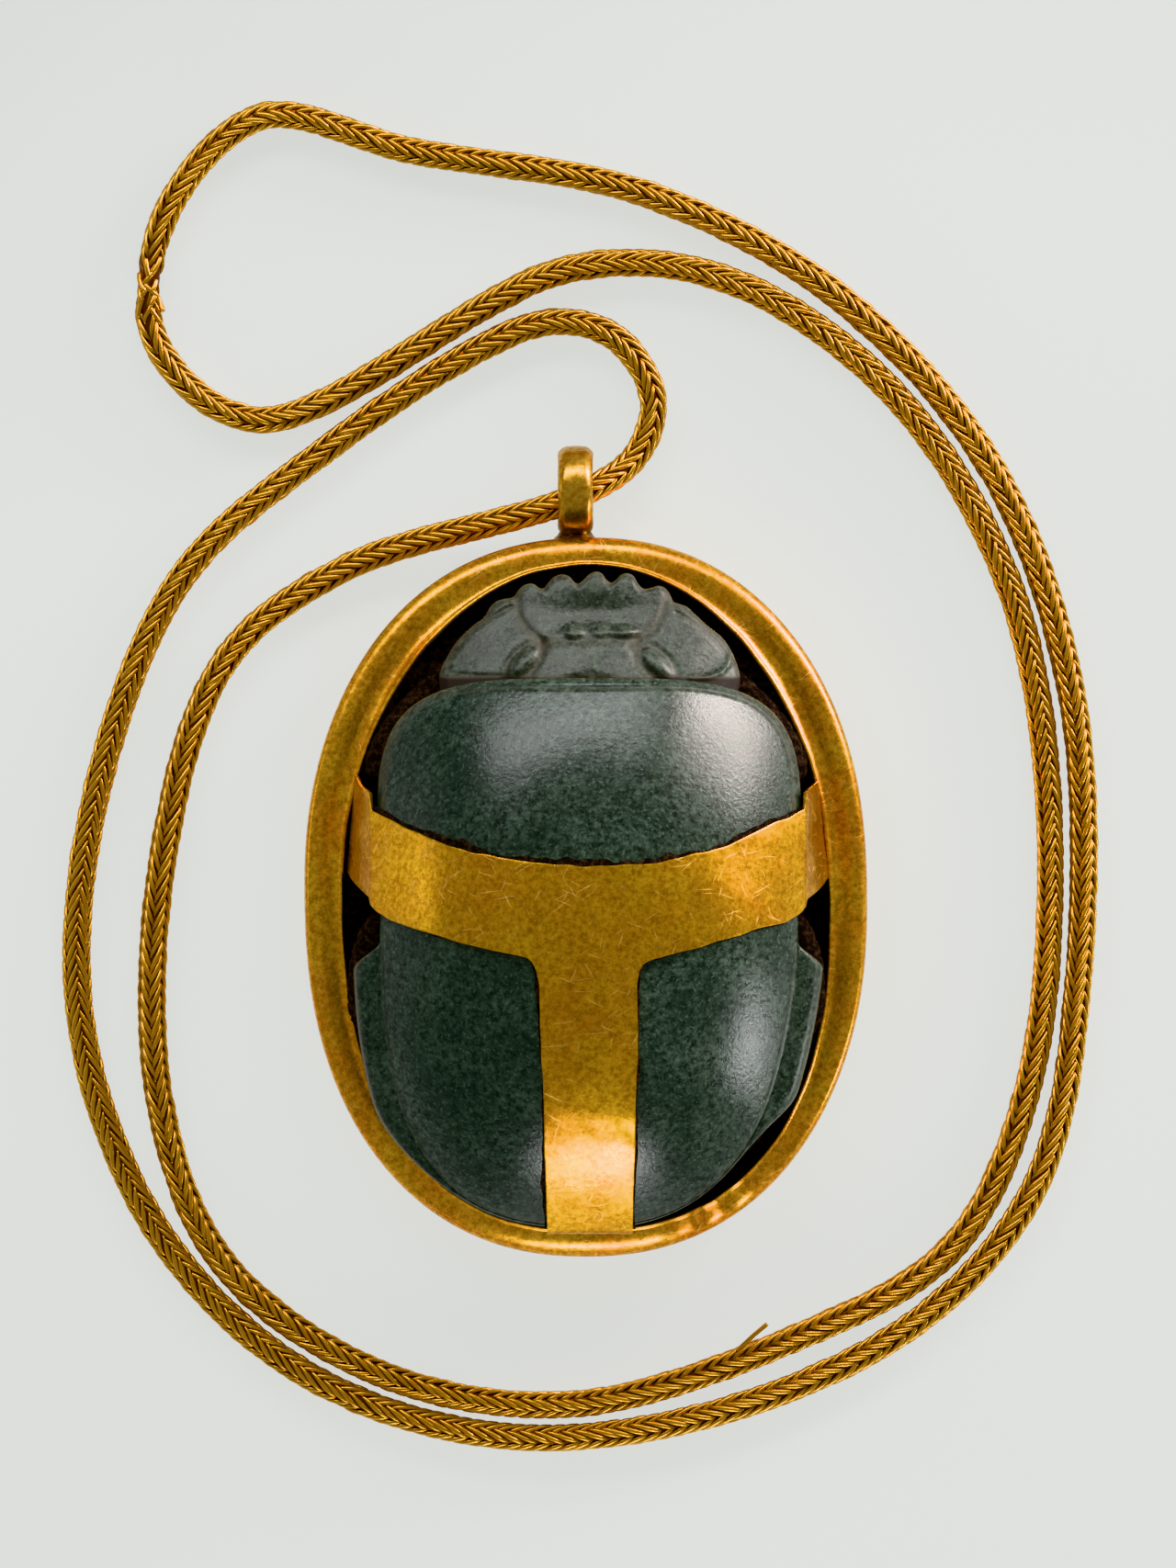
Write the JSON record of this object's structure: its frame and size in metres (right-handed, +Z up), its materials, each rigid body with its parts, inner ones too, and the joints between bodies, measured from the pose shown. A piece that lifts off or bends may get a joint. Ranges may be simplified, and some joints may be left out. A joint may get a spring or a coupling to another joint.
{
  "type": "scarab amulet",
  "caption": "Carved green stone beetle in an oval gold mount with a T-shaped strap, a suspension ring and an endless woven gold chain, lying on its back.",
  "frame": {"origin": "under the middle of the amulet with its ring, on the surface that it lies on, without the chain", "axes": "+Y from the wing cases to the head and the suspension ring, +X to the beetle's right seen from above with its head away, +Z up out of its back"},
  "size_m": [0.0955, 0.1242, 0.0268],
  "materials": {
    "green_stone": "dark mottled green stone, softly polished, brown dirt in the carved lines",
    "mount_gold": "yellow gold sheet, burnished and slightly uneven, dark in the corners",
    "strap_gold": "yellow gold sheet with fine scratches and brown residue along its edges",
    "chain_gold": "woven gold wire, bright on the crowns and dark between the strands"
  },
  "bodies": {
    "root": {"scarab_stone": "green_stone", "gold_mount": "mount_gold", "gold_strap": "strap_gold", "suspension_ring": "mount_gold", "woven_chain": "chain_gold"}
  },
  "joints": []
}
